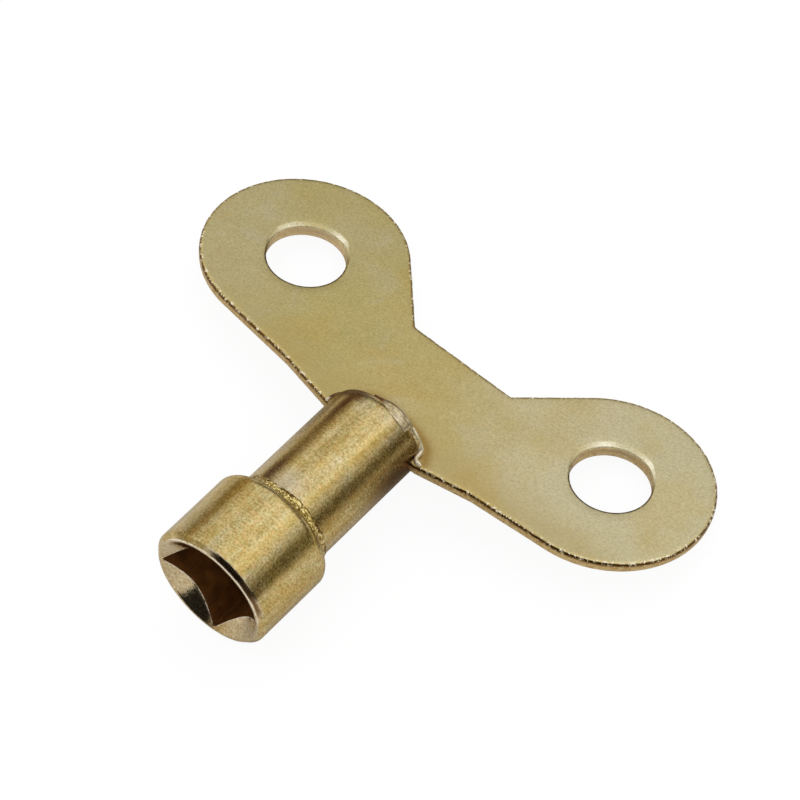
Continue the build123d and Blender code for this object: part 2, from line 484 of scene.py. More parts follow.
def braze_material(name, tone, seed, grit=1.0):
    """Grainy brazing metal. Attributes: tint = darker brown, on the upper saddle's -X part a
    painted dark reflection; worn = painted highlight.
    """
    mat, net = material(name)
    pos = net.shift(net.mm(), (seed, -seed, seed * 0.3))
    cloud = net.noise(pos, scale=1.1, detail=4, rough=0.6)
    grain = net.noise(pos, scale=3.8, detail=4, rough=0.75)
    col = net.ramp(cloud, [(0.32, scaled(tone, (0.62, 0.62, 0.62))), (0.48, tone),
                           (0.66, scaled(tone, (1.12, 1.18, 1.5)))])
    shade = net.remap(grain, span=(0.50, 0.38), to=(0.0, 0.95 * grit))
    col = net.mix(shade, col, (0.20, 0.09, 0.016))
    # painted glints: bright grains, made to glow by the lowered metallic below
    lit = net.remap(grain, span=(0.50, 0.60), to=(0.0, 0.95 * grit))
    col = net.mix(lit, col, (1.0, 0.86, 0.40))
    col = net.mix(net.times(net.attr("tint"), 0.95), col, (0.18, 0.078, 0.020))
    worn = net.attr("worn")
    col = net.mix(worn, col, (1.0, 0.91, 0.71))
    rough = net.remap(grain, span=(0.3, 0.7), to=(0.34, 0.18))
    normal = net.bump(grain, strength=0.65 * grit, depth=0.02)
    # lowered metallic lets the painted highlight and glints glow under the fill light
    dull = net.most(net.times(worn, 0.38), net.times(lit, 0.85))
    net.principled(col, rough, normal, metallic=net.minus(1.0, dull))
    return mat


MAT_PLATE = plate_material()
MAT_SHEAR = shear_material()
MAT_SHANK = barrel_material("shank_satin_brass", tone=(0.68, 0.53, 0.225), seed=3.0)
MAT_HEAD = barrel_material("head_satin_brass", tone=(0.68, 0.53, 0.22), seed=17.0)
MAT_BORE = bore_material()
MAT_RING = braze_material("braze_yellow_grain", tone=(0.96, 0.69, 0.18), seed=5.0)
MAT_SADDLE = braze_material("braze_saddle", tone=(0.72, 0.58, 0.31), seed=29.0, grit=0.35)


# ---------------------------------------------------------------- handle plate outline
def tangent_angle(point, centre, radius, side):
    """Angle on a circle where the tangent from a point touches it."""
    away = point - centre
    return atan2(away[1], away[0]) + side * acos(radius / np.hypot(*away))


def unit(angle):
    return np.array([cos(angle), sin(angle)])


def half_outline(step, side):
    """Half of the outline, drawn at +X, from the front edge's middle to the notch's."""
    lobe = LOBES[side] * [side, 1]
    start = tangent_angle(BEND, lobe, LOBE_R, 1)
    end = tangent_angle(NOTCH, lobe, LOBE_R, -1)
    lobe_start, lobe_end = lobe + LOBE_R * unit(start), lobe + LOBE_R * unit(end)
    if end < start:
        end += 2 * pi
    path = []

    def line(a, b):
        n = max(2, int(np.hypot(*(b - a)) / step))
        path.extend(a + (b - a) * i / n for i in range(n))

    def arc(centre, radius, first, last, n):
        path.extend(centre + radius * unit(first + (last - first) * i / n) for i in range(n))

    line(np.array([0.0, ROOT[1]]), ROOT)
    line(ROOT, BEND)
    line(BEND, lobe_start)
    arc(lobe, LOBE_R, start, end, int(LOBE_R * (end - start) / step))
    # the notch corner, rounded on the open side
    inward = np.array([-1.0, 0.0])
    back = (lobe_end - NOTCH) / np.hypot(*(lobe_end - NOTCH))
    trim = NOTCH_R * tan((pi - acos(float(np.dot(back, inward)))) / 2)
    corner_start, corner_end = NOTCH + back * trim, NOTCH + inward * trim
    line(lobe_end, corner_start)
    centre = corner_end + np.array([0.0, NOTCH_R])
    first = atan2(*(corner_start - centre)[::-1])
    last = atan2(*(corner_end - centre)[::-1])
    if last > first:
        last -= 2 * pi
    arc(centre, NOTCH_R, first, last, max(5, int(NOTCH_R * abs(last - first) / (step * 0.6))))
    line(corner_end, np.array([0.0, NOTCH[1]]))
    return np.array(path)


def plate_outline(step):
    """Closed counter-clockwise outline: points and outward normals."""
    right, left = half_outline(step, 1), half_outline(step, -1)
    points = np.vstack([right, [[0.0, NOTCH[1]]], left[1:][::-1] * [-1, 1]])
    along = np.roll(points, -1, 0) - np.roll(points, 1, 0)
    along /= np.linalg.norm(along, axis=1)[:, None]
    normals = np.c_[along[:, 1], -along[:, 0]]
    for _ in range(3):
        normals = normals + 0.5 * (np.roll(normals, 1, 0) + np.roll(normals, -1, 0))
        normals /= np.linalg.norm(normals, axis=1)[:, None]
    return points, normals


def hole_outline(x, step):
    """Points round a hole, and normals that leave the material: towards its centre."""
    n = int(2 * pi * HOLE_R / step)
    a = np.arange(n) * 2 * pi / n
    out = np.c_[np.cos(a), np.sin(a)]
    return np.array([x, 0.0]) + HOLE_R * out, -out


# ---------------------------------------------------------------- sheet edges
# Inset from the outline and depth below the flat top: rolled edge, then the lower wall.
ROLLED = [(0.56, 0.0), (0.40, 0.004), (0.29, 0.012), (0.205, 0.027), (0.14, 0.049),
          (0.092, 0.080), (0.056, 0.120), (0.030, 0.170), (0.013, 0.230), (0.004, 0.300),
          (0.001, 0.39), (0.0, 0.49)]
LOWER = [(0.0, 0.57), (0.006, 0.63), (0.022, 0.68), (0.030, 0.74), (0.032, 0.81),
         (0.036, 0.88), (0.042, 0.95), (0.055, 1.005), (0.080, 1.05), (0.13, 1.082),
         (0.22, 1.097), (0.45, SHEET)]
EDGE = [(inset, HALF - depth) for inset, depth in ROLLED + LOWER]
# A hole starts with a drawn-in bevel (fraction of its width, from the flat top inwards), goes
# on with a wall (inset, depth below the bevel) and ends with the lower wall.
BEVEL = (0.0, 0.14, 0.28, 0.42, 0.55, 0.67, 0.77, 0.86, 0.93, 0.98)
WALL = [(0.018, 0.012), (0.006, 0.04), (0.001, 0.08), (0.0, 0.16), (0.0, 0.30), (0.0, 0.44)]
HOLE = ([(fraction, None) for fraction in BEVEL] + WALL
        + [(max(0.0, inset - 0.006), HALF - depth) for inset, depth in LOWER])
WALL_START = len(BEVEL)
LOWER_START = WALL_START + len(WALL)
# Painted highlights on a hole's bevel, by the hole's side: angle and spread of the first and
# second spot in degrees, strength of the second, painted brightness of the wall below.
HOLE_SHINE = {-1: (82, 15, 154, 19, 0.60, 0.50), 1: (72, 17, 137, 13, 0.90, 0.30)}


def bevel_size(angle):
    """Width and depth of the drawn-in rim: broad towards +Y, a bare edge elsewhere."""
    turn = degrees(angle) % 360
    broad = ease(30, 62, turn) * ease(212, 178, turn)
    return 0.24 + 0.40 * broad + 0.05 * sin(3 * angle + 1.0) * broad, 0.060 + 0.018 * broad


def hole_section(k, angle):
    """Inset and height of a hole's station k at an angle round the hole."""
    inset, z = HOLE[k]
    width, drop = bevel_size(angle)
    turn = degrees(angle) % 360
    flare = 0.30 * ease(30, 75, turn) * ease(215, 165, turn)
    if k < WALL_START:
        return 0.018 + flare + width * (1 - inset), HALF - drop * inset ** 1.35
    if k < LOWER_START:
        z = HALF - drop - z
    return inset + flare * ease(-0.45, 0.40, z), z


def unevenness(x, y):
    """Slow unevenness of the pressed sheet."""
    return (0.016 * perlin(x, y, 0, scale=0.16, seed=3.1)
            + 0.006 * perlin(x, y, 0, scale=0.45, seed=8.0))


def plate_rings(points, normals, seed, hole):
    """Rings of points from the flat top, down the wall, to the lower face."""
    rings = []
    for k, (inset, z) in enumerate(HOLE if hole else EDGE):
        row = []
        for point, out in zip(points, normals):
            x, y = point
            if hole:
                inset, z = hole_section(k, atan2(-out[1], -out[0]))
                torn, rolled = 0.6, 0.2 * exp(-((z - 0.36) / 0.10) ** 2)
            else:
                torn, rolled = 1.0, exp(-((z - 0.36) / 0.16) ** 2)
            torn *= exp(-((z + 0.18) / 0.30) ** 2)
            shift = inset
            if z > 0 and not hole:
                shift *= 1.0 + 0.22 * perlin(x, y, 0, scale=0.35, seed=seed)
            shift += torn * (0.030 * fractal(x, y, z, scale=2.2, octaves=4, seed=seed + 5)
                             + 0.018 * abs(perlin(x, y, z * 3, scale=5.0, seed=seed + 9)))
            shift += rolled * 0.034 * fractal(x, y, z, scale=1.6, octaves=3, seed=seed + 2)
            place = point - out * shift
            height = z
            if z < -0.45 and inset < 0.3:
                height -= 0.012 * abs(perlin(x, y, 0, scale=1.8, seed=seed + 4))
            if z > HALF - 0.06:
                height += unevenness(*place) * min(1.0, inset / (0.12 if hole else 0.5))
            elif z < -HALF + 0.01 and inset > 0.3:
                height += unevenness(*place)
            row.append((place[0], place[1], height))
        rings.append(row)
    return rings


def edge_masks(inset, z):
    """Crest, line and bevel values of one ring of the outer edge; line is a painted shade line
    along the rolled edge.
    """
    return (exp(-((z - HALF + 0.06) / 0.10) ** 2) * ease(0.42, 0.22, inset),
            min(1.0, 1.2 * exp(-((z - HALF + 0.19) / 0.19) ** 2)) * ease(0.20, 0.08, inset),
            0.0)


def hole_masks(k, out, side):
    """Crest, line and bevel values of one point of a hole's station k; line is painted shade at
    the near rim and the far wall's foot, bevel a painted highlight on the rim and painted light on
    the far wall.
    """
    inset, z = HOLE[k]
    turn = degrees(atan2(-out[1], -out[0])) % 360
    first, spread, second, spread2, strength, wall_shine = HOLE_SHINE[side]
    far = ease(20, 60, turn) * ease(220, 180, turn)     # the +Y side
    if k < WALL_START:
        spots = (exp(-((turn - first) / spread) ** 2)
                 + strength * exp(-((turn - second) / spread2) ** 2))
        bevel = min(1.0, spots) * ease(0.04, 0.36, inset)
        near_line = ease(0.30, 0.55, inset)
    else:
        bevel = wall_shine * ease(25, 70, turn) * ease(220, 170, turn)
        near_line = 1.0 if k < WALL_START + 4 else 0.4
    far_line = exp(-((z + HALF - 0.06) / 0.10) ** 2) if k >= LOWER_START else 0.0
    return 0.0, (1 - far) * near_line + far * far_line, bevel


# ---------------------------------------------------------------- sheet faces
GRID = 0.55
OUTLINE_STEP = 0.20
# Line of the painted shade on the sheet round the brazing, x and y in the row frame
SHADE_LINE = [(-5.0, 25.2), (-3.4, 26.0), (-1.6, 26.27), (0, 26.12), (1.62, 25.88),
              (2.85, 25.56), (4.23, 25.05), (5.12, 24.41), (5.62, 23.5), (6.0, 22.9)]


def triangle_grid(x_range, y_range, pitch):
    x, y = np.meshgrid(np.arange(*x_range, pitch), np.arange(*y_range, pitch * 0.866))
    x[1::2] += pitch / 2
    return np.c_[x.ravel(), y.ravel()]


def inside_outline(points, outline):
    """Even-odd test."""
    inside = np.zeros(len(points), bool)
    for (x0, y0), (x1, y1) in zip(outline, np.roll(outline, -1, 0)):
        if y0 != y1:
            inside ^= (((y0 > points[:, 1]) != (y1 > points[:, 1]))
                       & (points[:, 0] < (x1 - x0) * (points[:, 1] - y0) / (y1 - y0) + x0))
    return inside


def grid_points(rims, outline, side):
    """Grid inside the outline and clear of every rim; finer above, beside the tube."""
    grid = triangle_grid((-29, 29), (-13, 11), GRID)
    if side > 0:
        fine = triangle_grid((-7, 8), (-12, -6.5), GRID / 2)
        coarse = ~((np.abs(grid[:, 0] - 0.5) < 7.6) & (grid[:, 1] < -6.4))
        grid = np.vstack([grid[coarse], fine])
    grid = grid[inside_outline(grid, outline)]
    keep = np.array([np.min(np.hypot(*(rims - point).T)) > 0.30 for point in grid])
    for x in (-HOLE_X, HOLE_X):
        margin = 1.05 if side > 0 else 0.7
        keep &= np.hypot(grid[:, 0] - x, grid[:, 1]) > HOLE_R + margin
    return grid[keep]


def fill_side(verts, faces, loops, side):
    """Triangulate the top (side 1) or bottom (side -1) between the loops of indices."""
    ids = [i for loop in loops for i in loop]
    flat = [Vector((verts[i][0], verts[i][1])) for i in ids]
    edges, start = [], 0
    for loop in loops:
        n = len(loop)
        edges += [(start + i, start + (i + 1) % n) for i in range(n)]
        start += n
    rims = np.array([[c.x, c.y] for c in flat])
    for x, y in grid_points(rims, rims[:len(loops[0])], side):
        ids.append(len(verts))
        flat.append(Vector((x, y)))
        verts.append((x, y, side * HALF + unevenness(x, y)))
    out = geometry.delaunay_2d_cdt(flat, edges, [], 1, 1e-7)
    corners, triangles, sources = out[0], out[2], out[3]
    source = [ids[s[0]] if s else None for s in sources]
    for face in triangles:
        x, y = sum((np.array(corners[i]) for i in face), np.zeros(2)) / len(face)
        x -= copysign(HOLE_X, x)
        rim = HOLE_R + (0.018 + bevel_size(atan2(y, x))[0] if side > 0 else 0.444)
        in_hole = np.hypot(x, y) < rim + 0.005
        if not in_hole and all(source[i] is not None for i in face):
            faces.append(tuple(source[i] for i in (face if side > 0 else face[::-1])))


def build_plate():
    verts, faces, masks, tops, bottoms = [], [], [], [], []
    for number, side in enumerate((0, -1, 1)):      # outer edge, then the two holes
        hole = side != 0
        points, normals = (hole_outline(side * HOLE_X, OUTLINE_STEP) if hole
                           else plate_outline(OUTLINE_STEP))
        rings = plate_rings(points, normals, 13.0 * number, hole)
        base, n = len(verts), len(points)
        for k, ring in enumerate(rings):
            verts += ring
            masks += ([hole_masks(k, out, side) for out in normals] if hole
                      else [edge_masks(*EDGE[k])] * n)
        for k in range(len(rings) - 1):
            low = base + k * n
            for i in range(n):
                j = (i + 1) % n
                faces.append((low + i, low + j, low + n + j, low + n + i))
        tops.append([base + i for i in range(n)])
        bottoms.append([base + (len(rings) - 1) * n + i for i in range(n)])
    fill_side(verts, faces, tops, 1)
    fill_side(verts, faces, bottoms, -1)
    masks += [(0.0, 0.0, 0.0)] * (len(verts) - len(masks))
    crest, line, bevel = zip(*masks)
    row = to_row(np.array(verts))
    # painted shade on the top face, strongest along the line round the tube's end
    near = distance_to(row[:, :2], SHADE_LINE)
    tube_shade = (1.25 * np.exp(-(near / 0.55) ** 2) * (np.array(verts)[:, 2] > 0)
             * ease(-5.5, -1.0, row[:, 0]))
    ob = make_obj("handle_plate_sheet", row, faces, mats=[MAT_PLATE, MAT_SHEAR],
                  attrs={"crest": crest, "line": line, "bevel": bevel, "tube_shade": tube_shade})
    # steep faces below the rolled edge are sheared metal
    mesh = ob.data
    height = to_plate(np.array([v.co[:] for v in mesh.vertices]) / MM)[:, 2]
    index = []
    for face in mesh.polygons:
        z = height[list(face.vertices)].mean()
        normal = TO_ROW.T @ np.array(face.normal)
        index.append(1 if abs(normal[2]) < 0.62 and z < 0.26 else 0)
    mesh.polygons.foreach_set("material_index", index)
    return ob


plate = build_plate()


# ---------------------------------------------------------------- socket head
def square_r(angle):
    """Distance from the axis to the rounded square socket's wall."""
    a = abs((angle - SQUARE_TURN + pi / 4) % (pi / 2) - pi / 4)
    flat = SQUARE - SQUARE_ROUND
    if SQUARE * tan(a) <= flat:
        return SQUARE / cos(a)
    across = flat * cos(a) + flat * sin(a)
    return across + sqrt(max(0.0, across * across - 2 * flat ** 2 + SQUARE_ROUND ** 2))


def cone_y(radius):
    return (CONE_R - radius) / CONE_SLOPE


def head_angles():
    """One-degree steps, closer together at the socket's corners."""
    angles = list(np.arange(0, 2 * pi, radians(1.0)))
    for k in range(4):
        corner = SQUARE_TURN + pi / 4 + k * pi / 2
        for d in (-1.85, -1.5, -1.2, -0.9, -0.6, -0.3, 0.0, 0.3, 0.6, 0.9, 1.2, 1.5, 1.85):
            angles.append((corner + radians(d)) % (2 * pi))
    angles.sort()
    kept = [angles[0]]
    for angle in angles[1:]:
        if angle - kept[-1] > radians(0.12):
            kept.append(angle)
    return kept


# Lathe shapes of the head, in order from the seat, out through the mouth, to the back
def seat_floor(t, angle):
    return SEAT_R + (square_r(angle) - SEAT_R) * t, SEAT_Y


def socket_wall(t, angle):
    radius = square_r(angle)
    mouth = cone_y(radius)
    return radius, mouth + 0.10 + (SEAT_Y - mouth - 0.10) * t


def socket_corner(t, angle):
    """Rounded corner between socket wall and lead-in."""
    radius = square_r(angle)
    mouth, reach = cone_y(radius), 0.07
    end_y = max(mouth - reach * 0.59, 0.012)
    a, b, c = (1 - t) ** 2, 2 * t * (1 - t), t * t
    return (a * radius + b * radius + c * (radius + reach * 0.81),
            a * (mouth + reach) + b * mouth + c * end_y)


def lip(angle):
    """Inner and outer radius of the rubbed lip and its depth."""
    lean = cos(angle - radians(LIP_TURN))
    wear = 0.020 * fractal(cos(angle) * 6, 0, sin(angle) * 6, scale=0.45, octaves=3, seed=21.0)
    return 5.80 + 0.085 * lean, 5.945 + 0.08 * lean + wear, 0.032 + 0.030 * lean + abs(wear) * 0.4


def lead_in(t, angle):
    inner, _, depth = lip(angle)
    start = square_r(angle) + 0.057
    radius = start + (inner - 0.04 - start) * t
    y = cone_y(radius) + 0.008 * fractal(radius * cos(angle), 0, radius * sin(angle),
                                         scale=0.5, octaves=2, seed=4.0)
    return radius, max(y, depth + 0.012)


def lip_top(place, angle):
    t, sink = place
    inner, outer, depth = lip(angle)
    return inner + (outer - inner) * t, depth + sink


def mouth_bevel(t, angle):
    """A straight bevel with both its edges rubbed round."""
    _, outer, depth = lip(angle)
    wave = 0.010 * sin(pi * t) * perlin(cos(angle) * HEAD_R, t, sin(angle) * HEAD_R,
                                        scale=0.6, seed=7.0)
    start, end = outer + 0.034, HEAD_R - 0.035
    if t < 0.25:
        u = t / 0.25
        return outer + 0.034 * u + wave, depth + 0.030 * u ** 1.7
    if t < 0.80:
        u = (t - 0.25) / 0.55
        return start + (end - start) * u + wave, depth + 0.030 + (0.50 - depth - 0.030) * u
    u = (t - 0.80) / 0.20
    return end + 0.035 * (1 - (1 - u) ** 2) + wave, 0.50 + 0.18 * u


def head_side(y, angle):
    x, z = HEAD_R * cos(angle), HEAD_R * sin(angle)
    return (HEAD_R - 0.004 + 0.006 * perlin(x, y, z, scale=0.30, seed=2.0)
            + 0.0025 * perlin(x, y, z, scale=1.0, seed=6.0)), y


def build_head():
    rings = [(fixed, (SEAT_R, y)) for y in (HEAD_L, 8.6, 7.9, 7.3, SEAT_Y)]
    for shape, stations in (
            (seat_floor, (0.5, 1.0)),
            (socket_wall, (0.85, 0.7, 0.55, 0.42, 0.3, 0.2, 0.12, 0.06)),
            (socket_corner, (0.0, 0.25, 0.5, 0.75, 1.0)),
            (lead_in, (0.12, 0.26, 0.42, 0.58, 0.74, 0.88, 0.96)),
            (lip_top, ((-0.12, 0.012), (0.10, 0.003), (0.35, 0.0), (0.65, 0.0),
                       (0.90, 0.002), (1.05, 0.008))),
            (mouth_bevel, (0.06, 0.12, 0.18, 0.25, 0.36, 0.47, 0.58, 0.69, 0.80, 0.86,
                           0.93, 1.0)),
            (head_side, np.linspace(0.80, HEAD_L - 1.05, 34))):
        rings += [(shape, station) for station in stations]
    for a in range(0, 91, 9):
        rings.append((fixed, (HEAD_R - HEAD_ROUND + HEAD_ROUND * cos(radians(a)),
                              HEAD_L - HEAD_ROUND + HEAD_ROUND * sin(radians(a)))))
    rings.append((fixed, (5.15, HEAD_L)))
    ob = make_obj("socket_head_sleeve", *lathe(rings, head_angles()), mats=[MAT_HEAD, MAT_BORE])

    def inside(radius, y, angle):
        wall = square_r(angle)
        return ((radius < wall + 0.02 and y > cone_y(wall) + 0.035)
                or (y > SEAT_Y - 0.2 and radius < 5.0))

    mark_bore(ob, inside)
    return ob


def head_polish(x, y, z):
    """The turned cone and the lit part of the bevel are smoother than the rest; the paler colour
    on the lit bevel is a painted sheen.
    """
    radius, deg = polar(x, z)
    lit = ease(4, 20, deg) * ease(100, 86, deg)
    return np.maximum(ease(0.70, 0.50, y) * lit, radius < 5.9) * (radius > 3.9)


def head_worn(x, y, z):
    """The lip, and the corner between the lead-in and the square: rubbed brass, with a painted
    highlight strongest on the lip's upper side.
    """
    radius, deg = polar(x, z)
    middle = 5.873 + 0.082 * np.cos(np.radians(deg - LIP_TURN))
    upper = np.maximum(0.10, ease(-8, 22, deg) * ease(158, 122, deg))
    on_lip = upper * ease(0.100, 0.050, np.abs(radius - middle - 0.015)) * (y < 0.25)
    wall = np.array([square_r(angle) for angle in np.radians(deg)])
    mouth = np.maximum(cone_y(wall), 0.03)
    on_square = (np.exp(-(((radius - wall) / 0.055) ** 2 + ((y - mouth) / 0.055) ** 2))
                 * ease(5.60, 5.35, wall))
    return np.maximum(on_lip, 0.95 * on_square)


def head_tint(x, y, z):
    """Painted dark reflection on the bevel next to the lip, and the heat stain at the back of the
    head.
    """
    radius, deg = polar(x, z)
    beyond = radius - (5.985 + 0.08 * np.cos(np.radians(deg - LIP_TURN)))
    # painted dark reflection band on the bevel beside the lip
    band = (ease(0.0, 0.035, beyond) * ease(0.34, 0.20, beyond)
            * ease(8, 24, deg) * ease(92, 78, deg) * (y < 0.5))
    return np.maximum(0.93 * band, 0.35 * ease(HEAD_L - 0.35, HEAD_L, y) * (radius > 5.0))


head = build_head()
# the lit bevel's sheen, the lip's highlight and the dark band beside it are painted light and
# shade
paint(head, polish=head_polish, worn=head_worn, tint=head_tint, flux=blank)


# ---------------------------------------------------------------- shank tube
def tube_rim(a, angle):
    """The tube's end, rounded over more at -X than at +X; a is the angle of the rounding."""
    turn = degrees(angle) % 360
    extra = 1.10 * (ease(48, 88, turn) if turn < 180 else 0.5)
    size = 0.34 + extra
    return (TUBE_R - size * 0.74 * (1 - cos(a)),
            TUBE_END + 0.27 * extra - size * (1 - sin(a)))


def tube_side(y, angle):
    x, z = TUBE_R * cos(angle), TUBE_R * sin(angle)
    wave = 0.0
    if y > 9.2:                     # plain inside the head
        wave = (0.006 * perlin(x, y * 0.5, z, scale=0.35, seed=12.0)
                + 0.002 * perlin(x, y, z, scale=1.2, seed=16.0))
    return TUBE_R - 0.004 + wave, y


def slot_cutter():
    """Box round the sheet with a little clearance."""
    gap = 0.04
    front = ROOT[1] - gap
    box = [(x, y, z) for z in (-HALF - gap, HALF + gap)
           for x, y in ((-13, front), (13, front), (13, 8), (-13, 8))]
    quads = [(0, 3, 2, 1), (4, 5, 6, 7), (0, 1, 5, 4), (1, 2, 6, 5), (2, 3, 7, 6), (3, 0, 4, 7)]
    return make_obj("slot_cut", to_row(np.array(box)), quads, smooth=False)


def build_shank():
    rings = [(fixed, (BORE_R, y)) for y in np.linspace(7.0, 23.2, 30)]
    rings += [(fixed, place) for place in (
        (BORE_R, 23.45), (BORE_R + 0.06, 23.56), (BORE_R + 0.16, TUBE_END),
        (3.9, TUBE_END), (4.3, TUBE_END))]
    rings += [(tube_rim, radians(a)) for a in range(90, -1, -10)]
    rings += [(tube_side, y) for y in np.linspace(22.15, 7.1, 44)]
    rings += [(fixed, place) for place in (
        (TUBE_R - 0.02, 6.88), (TUBE_R - 0.10, SEAT_Y), (4.1, SEAT_Y), (BORE_R, SEAT_Y))]
    angles = list(np.arange(0, 2 * pi, radians(1.5)))
    ob = make_obj("shank_tube_body", *lathe(rings, angles), mats=[MAT_SHANK, MAT_BORE])
    cutter = slot_cutter()
    slot = ob.modifiers.new("slot", "BOOLEAN")
    slot.operation = "DIFFERENCE"
    slot.object = cutter
    slot.solver = "EXACT"
    bpy.context.view_layer.update()
    apply_mods(ob)
    bpy.data.objects.remove(cutter)
    mark_bore(ob, lambda radius, y, angle: radius < BORE_R + 0.05 or y < 7.0)
    shade_smooth(ob.data)
    ob.data.set_sharp_from_angle(angle=radians(40))
    return ob


def shank_dark_reflection(x, y, z):
    """Painted dark reflection: stripes along the top, the tube's end and the +X side near the
    sheet.
    """
    radius, deg = polar(x, z)
    main = (np.exp(-((deg - 115.5 - 1.5 * np.sin(y * 0.7)) / 6.6) ** 2)
            * (0.50 + 0.72 * ease(16, 10.5, y) + 0.62 * ease(17, 21.5, y)))
    right = 0.45 * np.exp(-((deg - 34) / 7.0) ** 2)
    left = (0.62 * np.exp(-((deg - 136 - 0.8 * np.sin(y * 1.9)) / 5.5) ** 2)
            * ease(17.0, 20.5, y))
    end = (ease(21.75, 22.30, y + 0.12 * np.sin(np.radians(deg) * 5))
           * ease(90, 112, deg) * (deg > 0))
    foot = np.exp(-((deg - 2) / 27) ** 2) * ease(14.0, 19.8, y)
    return np.maximum.reduce([np.minimum(1.0, main), right, left, end, foot]) * (radius > 4.2)


def shank_flux(x, y, z):
    """Residue: on top beside the head and the plate, down the -X side and below +X."""
    radius, deg = polar(x, z)
    by_head = np.exp(-((deg - 93) / 17) ** 2) * ease(13.4, 10.8, y)
    by_plate = 0.35 * np.exp(-((deg - 64) / 9) ** 2) * ease(21.0, 22.6, y)
    side = 0.62 * ease(123, 139, deg) * ease(22.2, 20.2, y)
    low = 0.45 * ease(14, -6, deg) * (deg > -60) * ease(19.5, 16.5, y)
    return np.maximum.reduce([by_head * 0.7, by_plate, side, low]) * (radius > 4.2)


shank = build_shank()
# the tint painted on the shank is dark reflection
paint(shank, tint=shank_dark_reflection, flux=shank_flux, polish=blank, worn=blank)

# ---------------------------------------------------------------- brazing at the head
# Section of the fillet: radius and y. Stations 3 to 16 are rough; the last ones lie in the tube.
FILLET = [(4.88, 9.28), (5.02, 9.27), (5.18, 9.27), (5.30, 9.29), (5.37, 9.35), (5.38, 9.45),
          (5.34, 9.56), (5.28, 9.67), (5.22, 9.78), (5.17, 9.90), (5.125, 10.02),
          (5.085, 10.14), (5.05, 10.26), (5.02, 10.38), (4.99, 10.49), (4.955, 10.58),
          (4.92, 10.65), (4.88, 10.66), (4.87, 10.4), (4.87, 10.0), (4.87, 9.6)]


def fillet(k, angle):
    radius, y = FILLET[k]
    x, z = radius * cos(angle), radius * sin(angle)
    along = y
    if 3 <= k <= 16:
        radius += (0.05 * fractal(x, y, z, scale=0.55, octaves=2, seed=31.0)
                   + 0.095 * fractal(x, y, z, scale=2.1, octaves=4, seed=37.0))
        along += max(0.0, (y - 9.3) / 1.3) * (
            0.34 * fractal(x, 0, z, scale=0.33, octaves=3, seed=43.0)
            + 0.10 * perlin(x, 0, z, scale=1.6, seed=47.0))
    return max(radius, 4.87 if k > 16 else 4.885), 9.27 + (along - 9.27) * 0.80


def build_ring():
    """Grainy fillet between the head's back and the shank."""
    angles = list(np.arange(0, 2 * pi, radians(0.6)))
    rings = [(fillet, k) for k in range(len(FILLET))]
    return make_obj("head_braze_fillet", *lathe(rings, angles), mats=[MAT_RING])


def ring_tint(x, y, z):
    radius, deg = polar(x, z)
    groove = 0.75 * ease(9.50, 9.36, y) * (radius > 5.0)
    far = 0.8 * ease(10.12, 10.28, y - 0.15 * np.sin(7 * np.radians(deg)))
    return (np.maximum(np.maximum(groove, far), 0.62 * ease(98, 118, deg))
            + 0.30 * ease(48, 30, deg))


ring = build_ring()
paint(ring, tint=ring_tint, worn=blank)


# ---------------------------------------------------------------- brazing at the plate
class Beads:
    """Strings of overlapping balls, later skinned into one body."""
    SEGMENTS = 6

    def __init__(self):
        self.verts, self.faces = [], []

    def ball(self, centre, size):
        rows = []
        for i in range(self.SEGMENTS + 1):
            tilt = pi * i / self.SEGMENTS
            count = 1 if i in (0, self.SEGMENTS) else self.SEGMENTS * 2
            rows.append([len(self.verts) + j for j in range(count)])
            for j in range(count):
                turn = pi * j / self.SEGMENTS
                self.verts.append((centre[0] + size * sin(tilt) * cos(turn),
                                   centre[1] + size * sin(tilt) * sin(turn),
                                   centre[2] + size * cos(tilt)))
        n = self.SEGMENTS * 2
        for a, b in zip(rows[:-1], rows[1:]):
            for j in range(n):
                k = (j + 1) % n
                quad = (a[j % len(a)], b[j % len(b)], b[k % len(b)], a[k % len(a)])
                self.faces.append(tuple(dict.fromkeys(quad)))   # triangles at the poles

    def string(self, points, step):
        """points: (x, y, z, radius); balls follow a Catmull-Rom curve through them."""
        pts = np.array(points, float)
        ends = np.vstack([2 * pts[0] - pts[1], pts, 2 * pts[-1] - pts[-2]])
        for p0, p1, p2, p3 in zip(ends, ends[1:], ends[2:], ends[3:]):
            n = max(2, int(np.linalg.norm((p2 - p1)[:3]) / step))
            for k in range(n):
                t = k / n
                q = 0.5 * ((2 * p1) + (-p0 + p2) * t + (2 * p0 - 5 * p1 + 4 * p2 - p3) * t * t
                           + (-p0 + 3 * p1 - 3 * p2 + p3) * t ** 3)
                self.ball(q[:3], max(0.04, q[3]))
        self.ball(pts[-1][:3], pts[-1][3])


def plate_z(x, y, side):
    """Row-frame height of the sheet's upper (1) or lower (-1) face at row x, y."""
    normal = TO_ROW @ np.array([0, 0, 1.0])
    origin = to_row([0, 0, side * HALF])[0]
    return origin[2] - (normal[0] * (x - origin[0]) + normal[1] * (y - origin[1])) / normal[2]


# Rim beads: radius at +X and at -X, y at +X and at -X, bead radius
RIM_BEADS = ((4.58, 3.72, 23.88, 23.60, 0.33), (4.25, 3.60, 23.80, 23.58, 0.33),
             (3.86, 3.45, 23.70, 23.54, 0.31), (3.50, 3.30, 23.60, 23.50, 0.25))
# Collar beads: radius, y, bead radius
COLLAR_BEADS = ((4.60, 23.06, 0.36), (4.62, 23.34, 0.36), (4.62, 23.62, 0.38),
                (4.60, 23.90, 0.38))
# Foot on the sheet: x, y of its line; then x factor, y shift, lift off the sheet, bead radius
FOOT = ((4.80, 23.50), (4.55, 23.80), (3.9, 23.95), (2.9, 24.0), (1.6, 24.02), (0.2, 24.0),
        (-1.3, 23.98), (-2.8, 23.92), (-4.0, 23.80), (-4.7, 23.55), (-5.0, 23.15),
        (-5.15, 22.75))
FOOT_BEADS = ((1.0, 0.0, 0.08, 0.26), (0.94, -0.22, 0.26, 0.30), (0.86, -0.34, 0.55, 0.28))
